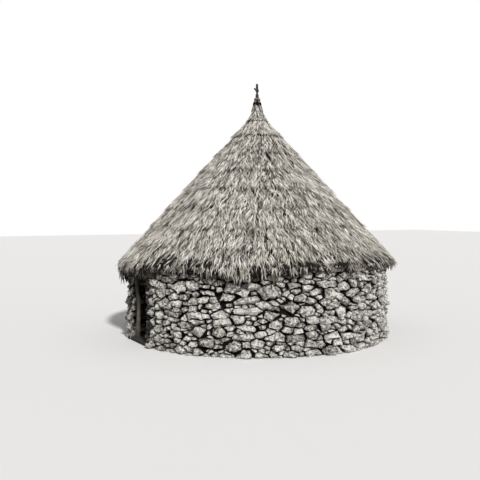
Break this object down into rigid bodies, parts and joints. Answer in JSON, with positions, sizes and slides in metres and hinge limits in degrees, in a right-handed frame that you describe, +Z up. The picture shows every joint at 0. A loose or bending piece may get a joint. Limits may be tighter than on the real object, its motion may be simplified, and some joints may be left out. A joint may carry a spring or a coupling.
{
  "type": "round stone hut",
  "caption": "Round dry-stone shepherd's hut with a low timber-posted doorway and a shaggy conical straw thatch that rises to a bound tip and a bare branch pole.",
  "frame": {"origin": "on the hut's upright axis at floor level, under the middle of the ring wall", "axes": "+Z up, the doorway faces -Y, +X is to the right of someone who looks at the doorway"},
  "size_m": [5.5025, 5.5004, 5.0502],
  "materials": {
    "granite_wall": "rough dry-laid granite fieldstone, lichened",
    "granite_slab": "worn granite slab",
    "hewn_timber": "old hewn log, smoke-dark",
    "crooked_poles": "peeled crooked pole, weathered grey",
    "roof_poles": "round pole with bark remnants",
    "roof_sticks": "thin branch with bark",
    "bare_pole": "weathered branch, nearly black against the sky",
    "thatch": "weathered grey straw thatch, shaggy",
    "straw_rope": "twisted straw rope"
  },
  "bodies": {
    "root": {"wall_front_right": "granite_wall", "wall_right_front": "granite_wall", "wall_right_back": "granite_wall", "wall_back_right": "granite_wall", "wall_back": "granite_wall", "wall_back_left": "granite_wall", "wall_left_back": "granite_wall", "wall_left_front": "granite_wall", "wall_front_left": "granite_wall", "wall_door_left": "granite_wall", "wall_door_right": "granite_wall", "wall_over_door": "granite_wall", "door_threshold": "granite_slab", "lintel_log_1": "hewn_timber", "lintel_log_2": "hewn_timber", "lintel_log_3": "hewn_timber", "lintel_log_4": "hewn_timber", "door_post_left": "crooked_poles", "door_post_right": "crooked_poles", "rafter_1": "roof_poles", "rafter_2": "roof_poles", "rafter_3": "roof_poles", "rafter_4": "roof_poles", "rafter_5": "roof_poles", "rafter_6": "roof_poles", "rafter_7": "roof_poles", "rafter_8": "roof_poles", "short_rafters": "roof_poles", "batten_ring_1": "roof_sticks", "batten_ring_2": "roof_sticks", "batten_ring_3": "roof_sticks", "batten_ring_4": "roof_sticks", "batten_ring_5": "roof_sticks", "batten_ring_6": "roof_sticks", "king_pole": "bare_pole", "thatch_eave": "thatch", "thatch_course_2": "thatch", "thatch_course_3": "thatch", "thatch_course_4": "thatch", "thatch_course_5": "thatch", "thatch_course_6": "thatch", "thatch_course_7": "thatch", "thatch_cap": "thatch", "apex_sticks": "roof_sticks", "apex_binding_lower": "straw_rope", "apex_binding_upper": "straw_rope"}
  },
  "joints": []
}
